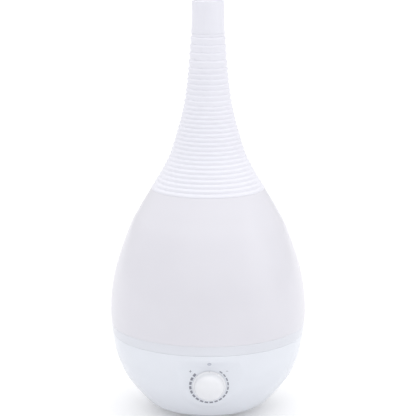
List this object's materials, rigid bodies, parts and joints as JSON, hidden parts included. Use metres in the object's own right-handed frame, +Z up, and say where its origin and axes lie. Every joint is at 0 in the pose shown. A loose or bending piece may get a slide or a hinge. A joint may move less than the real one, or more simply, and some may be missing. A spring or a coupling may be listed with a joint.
{
  "type": "cool mist humidifier",
  "caption": "Drop-shaped tabletop ultrasonic humidifier with a dial on its base, a lift-off water tank and a ribbed neck that ends in a mist nozzle.",
  "frame": {"origin": "on the floor under the middle of the drop", "axes": "+Z up along the drop's axis, the dial faces -Y, +X to the right as seen from the front"},
  "size_m": [0.2076, 0.2078, 0.4365],
  "materials": {
    "tank_white": "smooth milky white",
    "neck_white": "smooth white",
    "base_white": "smooth cool white",
    "knob_white": "polished white",
    "inner_white": "moulded white",
    "grey_rubber": "matt grey",
    "silicone": "soft translucent grey",
    "black_plastic": "moulded black",
    "board_green": "solder mask green",
    "steel": "plated",
    "aluminium": "satin",
    "copper": "enamelled copper wire",
    "ceramic": "fired",
    "led_tint": "clear grey",
    "lead_grey": "cable insulation"
  },
  "bodies": {
    "base": {"base_shell": "base_white", "base_cover": "inner_white", "foot_1": "grey_rubber", "foot_2": "grey_rubber", "foot_3": "grey_rubber", "foot_4": "grey_rubber", "cover_screw_1": "steel", "cover_screw_2": "steel", "cover_screw_3": "steel", "water_basin": "base_white", "basin_rim": "base_white", "air_chimney": "base_white", "transducer_disc": "ceramic", "transducer_seal": "silicone", "transducer_holder": "inner_white", "transducer_screw_1": "steel", "transducer_screw_2": "steel", "fan_housing": "black_plastic", "air_duct": "inner_white", "driver_board": "board_green", "board_screw_1": "steel", "board_screw_2": "steel", "heatsink": "aluminium", "output_coil": "copper", "board_capacitor": "black_plastic", "dc_jack": "black_plastic", "potentiometer": "steel", "potentiometer_nut": "steel", "indicator_lens": "led_tint", "status_led": "led_tint", "fan_lead": "lead_grey", "transducer_lead": "lead_grey", "dial_lead": "lead_grey", "jack_lead": "lead_grey", "float_pin": "inner_white"},
    "fan_rotor": {"fan_rotor": "black_plastic"},
    "dial": {"knob_shaft": "aluminium", "dial_knob": "knob_white"},
    "float": {"float_ring": "inner_white"},
    "tank": {"tank_shell": "tank_white", "tank_roof": "tank_white", "tank_bottom": "tank_white", "mist_bell": "tank_white", "mist_tube": "tank_white", "tube_seal": "silicone"},
    "tank_cap": {"filler_cap": "inner_white", "cap_gasket": "silicone", "valve_spring": "steel"},
    "valve": {"valve_plunger": "inner_white", "valve_seal": "silicone"},
    "neck": {"mist_neck": "neck_white"},
    "nozzle": {"mist_nozzle": "neck_white"}
  },
  "joints": [
    {"name": "tank_lift", "type": "slide", "parent": "base", "child": "tank", "axis": [0, 0, 1], "range_m": [0, 0.15]},
    {"name": "neck_lift", "type": "slide", "parent": "tank", "child": "neck", "axis": [0, 0, 1], "range_m": [0, 0.06]},
    {"name": "nozzle_turn", "type": "hinge", "parent": "neck", "child": "nozzle", "pos_m": [0, 0, 0.42], "axis": [0, 0, 1], "continuous": true},
    {"name": "knob_turn", "type": "hinge", "parent": "base", "child": "dial", "pos_m": [0, -0.0899, 0.0505], "axis": [0, 0.9781, 0.2079], "range_deg": [0, 305]},
    {"name": "fan_spin", "type": "hinge", "parent": "base", "child": "fan_rotor", "pos_m": [0, 0.014, 0.016], "axis": [0, 0, 1], "continuous": true},
    {"name": "float_rise", "type": "slide", "parent": "base", "child": "float", "axis": [0, 0, 1], "range_m": [0, 0.01]},
    {"name": "cap_turn", "type": "hinge", "parent": "tank", "child": "tank_cap", "pos_m": [-0.04505, -0.03155, 0.08], "axis": [0, 0, 1], "range_deg": [0, 60]},
    {"name": "valve_close", "type": "slide", "parent": "tank_cap", "child": "valve", "axis": [0, 0, 1], "range_m": [-0.004, 0], "deforming": ["valve_spring"]}
  ],
  "couplings": [
    {"joint": "valve_close", "follows": "tank_lift", "ratio": -0.0266}
  ]
}
